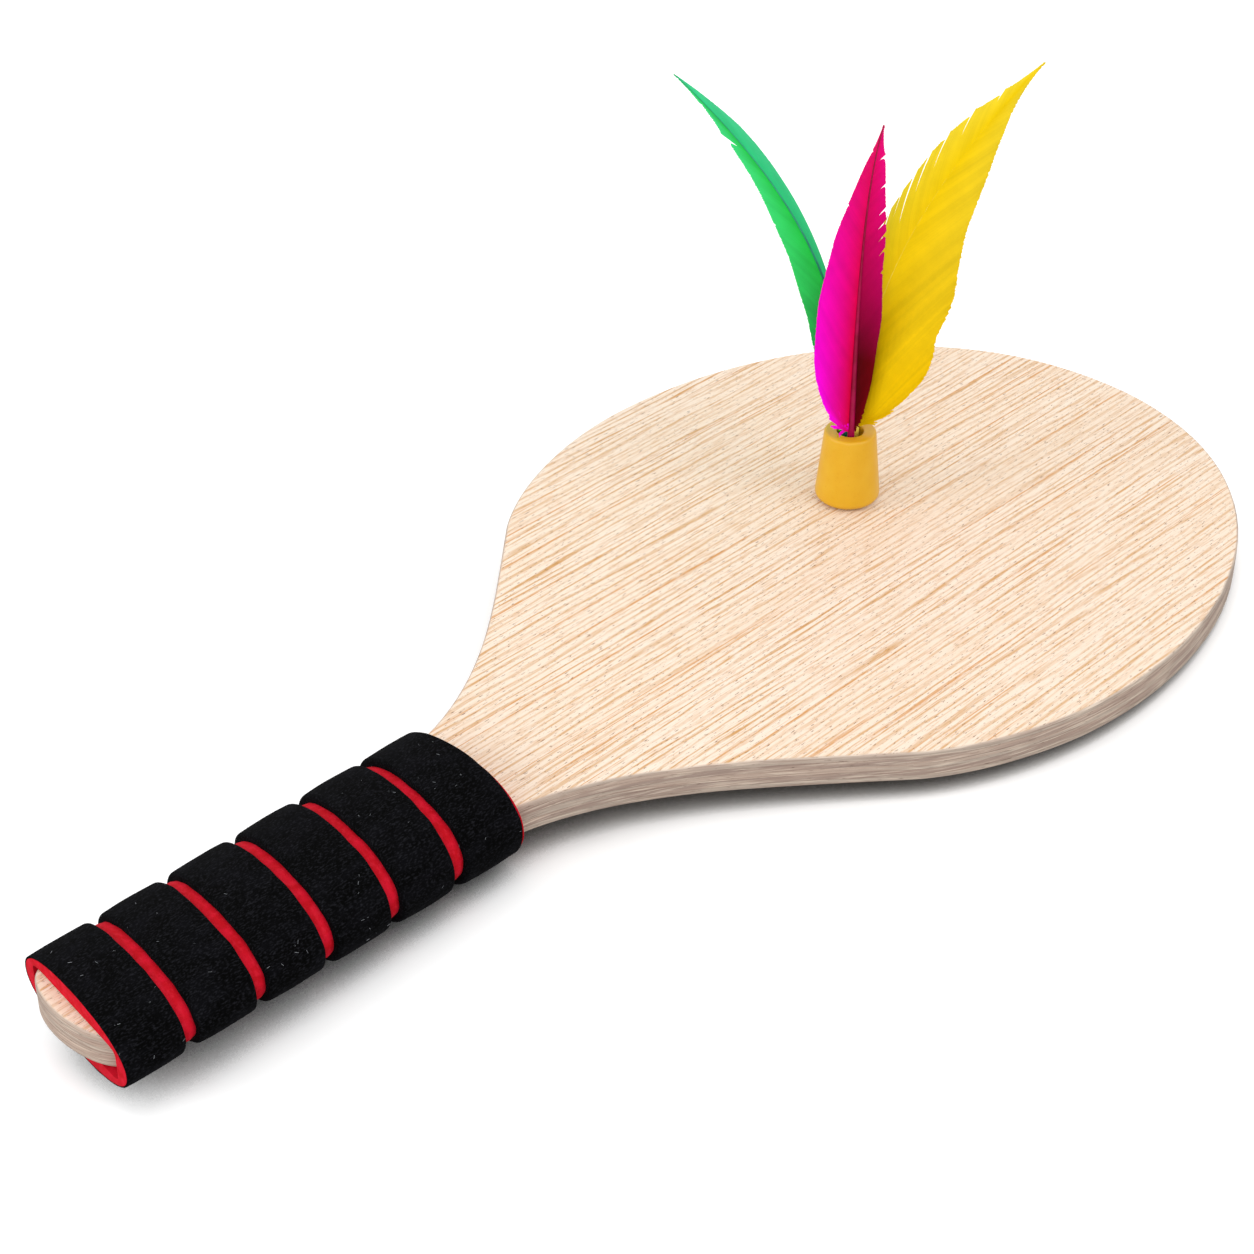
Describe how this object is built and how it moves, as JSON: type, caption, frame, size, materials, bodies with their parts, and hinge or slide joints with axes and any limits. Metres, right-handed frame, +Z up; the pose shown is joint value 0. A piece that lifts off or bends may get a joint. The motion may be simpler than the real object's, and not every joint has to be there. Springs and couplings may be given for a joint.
{
  "type": "wooden racket set",
  "caption": "Flat plywood racket with a grooved red and black foam grip, and a shuttlecock with dyed feathers in a rubber base standing on its blade.",
  "frame": {"origin": "middle of the set's bounding box, on the surface that the racket lies on", "axes": "+X from the grip to the blade's tip, +Y to the left seen from the grip, +Z up"},
  "size_m": [0.385, 0.19, 0.1402],
  "materials": {
    "face_veneer": "pale straight-grained veneer, sanded",
    "crossband_veneer": "darker end grain at the sawn edge",
    "red_foam": "smooth red foam",
    "black_foam": "matt black foam with a velvety skin",
    "yellow_rubber": "satin moulded rubber",
    "glue": "hardened glue",
    "green_feather": "dyed feather",
    "yellow_feather": "dyed feather",
    "magenta_feather": "dyed feather"
  },
  "bodies": {
    "racket": {"face_veneer": "face_veneer", "upper_crossband": "crossband_veneer", "core_veneer": "face_veneer", "lower_crossband": "crossband_veneer", "back_veneer": "face_veneer", "grip_sleeve": "red_foam", "grip_band_1": "black_foam", "grip_band_2": "black_foam", "grip_band_3": "black_foam", "grip_band_4": "black_foam", "grip_band_5": "black_foam", "grip_band_6": "black_foam"},
    "shuttlecock": {"shuttle_base": "yellow_rubber", "quill_glue_plug": "glue", "green_feather": "green_feather", "yellow_feather": "yellow_feather", "magenta_feather": "magenta_feather"}
  },
  "joints": [
    {"name": "shuttlecock_lift", "type": "slide", "parent": "racket", "child": "shuttlecock", "axis": [0.034, 0, 0.9994], "range_m": [0, 0.15]}
  ]
}
